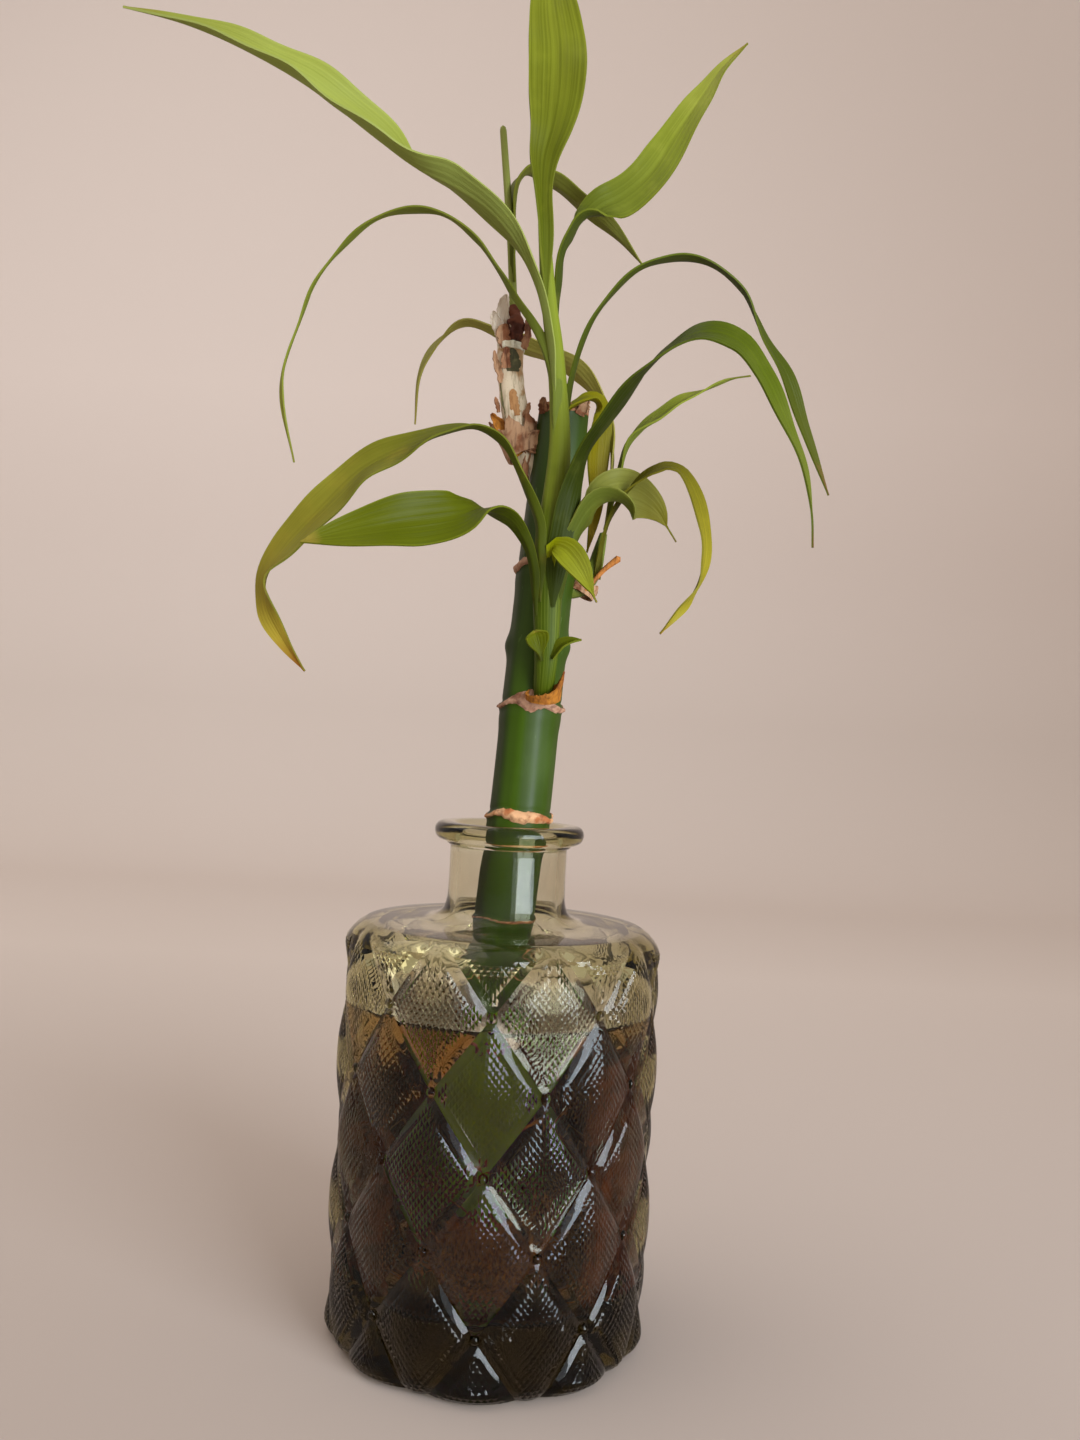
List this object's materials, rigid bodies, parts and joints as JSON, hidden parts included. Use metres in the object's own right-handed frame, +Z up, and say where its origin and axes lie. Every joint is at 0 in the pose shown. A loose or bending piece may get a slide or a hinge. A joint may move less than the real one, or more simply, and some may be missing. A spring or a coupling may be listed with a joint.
{
  "type": "lucky bamboo in a glass bottle",
  "caption": "Lucky bamboo cane with leafy side shoots, standing in water in a squat smoky glass bottle with a quilted relief.",
  "frame": {"origin": "centre of the bottle's flat base", "axes": "+Z up along the bottle's axis, -Y towards the viewer, +X to the viewer's right"},
  "size_m": [0.1567, 0.0736, 0.3152],
  "materials": {
    "smoky_glass": "clear gloss, smoky olive-brown tint",
    "water": "clear liquid, faintly brown",
    "cane": "waxy gloss, deep green with tan rings",
    "root": "wet satin orange-brown",
    "shoot_stem": "satin light green",
    "dry_stem": "matte papery beige",
    "amber_sheath": "satin amber, translucent",
    "dead_bud": "matte dark red-brown",
    "husk": "matte dry brown",
    "leaf_green": "satin leaf, fine lengthwise veins",
    "leaf_dark": "satin leaf, darker underside",
    "leaf_pale": "satin yellow-green leaf",
    "leaf_olive": "satin olive-yellow leaf"
  },
  "bodies": {
    "root": {"glass_bottle": "smoky_glass", "water": "water", "cane": "cane", "roots": "root", "front_shoot_stem": "shoot_stem", "right_shoot_stem": "shoot_stem", "dried_shoot_stem": "dry_stem", "cut_stalk": "shoot_stem", "dried_stub": "amber_sheath", "dead_bud": "dead_bud", "amber_bud_sheath": "amber_sheath", "dried_shoot_collar": "husk", "right_shoot_sheath": "husk", "leaf_left_low": "leaf_green", "leaf_left_long": "leaf_green", "leaf_front_small": "leaf_pale", "leaf_right_dark": "leaf_dark", "leaf_right_outer": "leaf_dark", "leaf_left_arch": "leaf_green", "leaf_top_left": "leaf_pale", "leaf_top": "leaf_pale", "leaf_top_right": "leaf_green", "leaf_back_top": "leaf_green", "leaf_back_left": "leaf_olive", "leaf_back_drooping": "leaf_olive", "leaf_right_thin": "leaf_green", "leaf_right_pale": "leaf_pale", "leaf_right_arch": "leaf_olive", "scale_leaf_left": "leaf_green", "scale_leaf_right": "leaf_green", "husk_scale_left": "husk", "husk_scale_right": "husk"}
  },
  "joints": []
}
